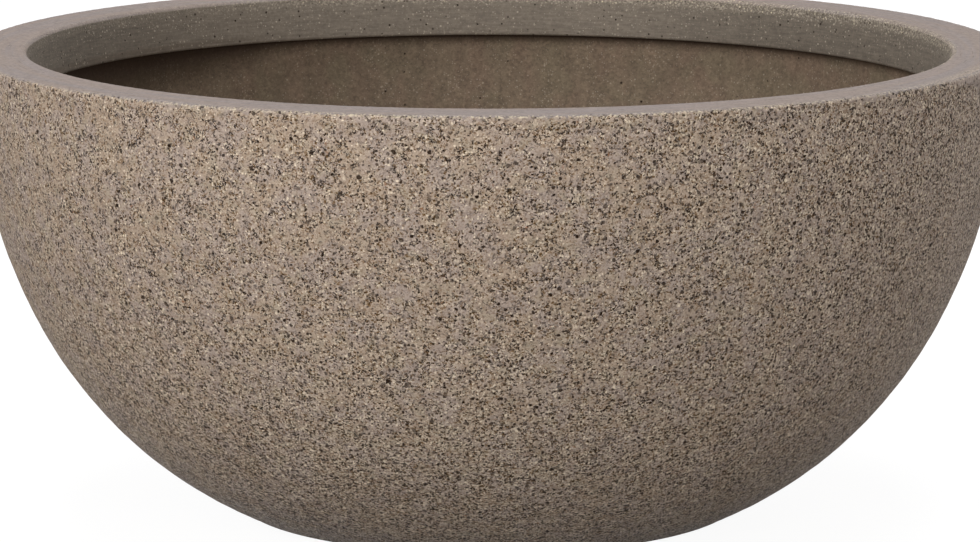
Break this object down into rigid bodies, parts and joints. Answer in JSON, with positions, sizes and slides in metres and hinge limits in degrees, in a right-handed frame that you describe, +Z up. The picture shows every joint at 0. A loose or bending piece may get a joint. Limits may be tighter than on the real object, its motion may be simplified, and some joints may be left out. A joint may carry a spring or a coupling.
{
  "type": "bowl planter",
  "caption": "Round concrete bowl planter with a thick returned rim, an undercut lip, a drain hole closed by a pull-out rubber plug, and rubber pads under its flat base.",
  "frame": {"origin": "on the ground under the middle of the bowl, level with the lower faces of the foot pads", "axes": "+Z up along the bowl's axis and out of its mouth; +X and +Y across the rim, with the plug's pull loop standing in the XZ plane"},
  "size_m": [0.6, 0.6, 0.272],
  "materials": {
    "facing_concrete": "matte",
    "backing_concrete": "matte",
    "lip_concrete": "matte",
    "cage_wire": "satin",
    "sleeve_plastic": "matte",
    "plug_rubber": "matte",
    "foot_rubber": "matte"
  },
  "bodies": {
    "bowl": {"face_shell": "facing_concrete", "backing_shell": "backing_concrete", "rim_lip": "lip_concrete", "rim_hoop": "cage_wire", "shoulder_hoop": "cage_wire", "belly_hoop": "cage_wire", "base_hoop": "cage_wire", "wall_ribs": "cage_wire", "floor_spokes": "cage_wire", "drain_sleeve": "sleeve_plastic", "foot_pads": "foot_rubber"},
    "plug": {"drain_plug": "plug_rubber"}
  },
  "joints": [
    {"name": "plug_lift", "type": "slide", "parent": "bowl", "child": "plug", "axis": [0, 0, 1], "range_m": [0, 0.06]}
  ]
}
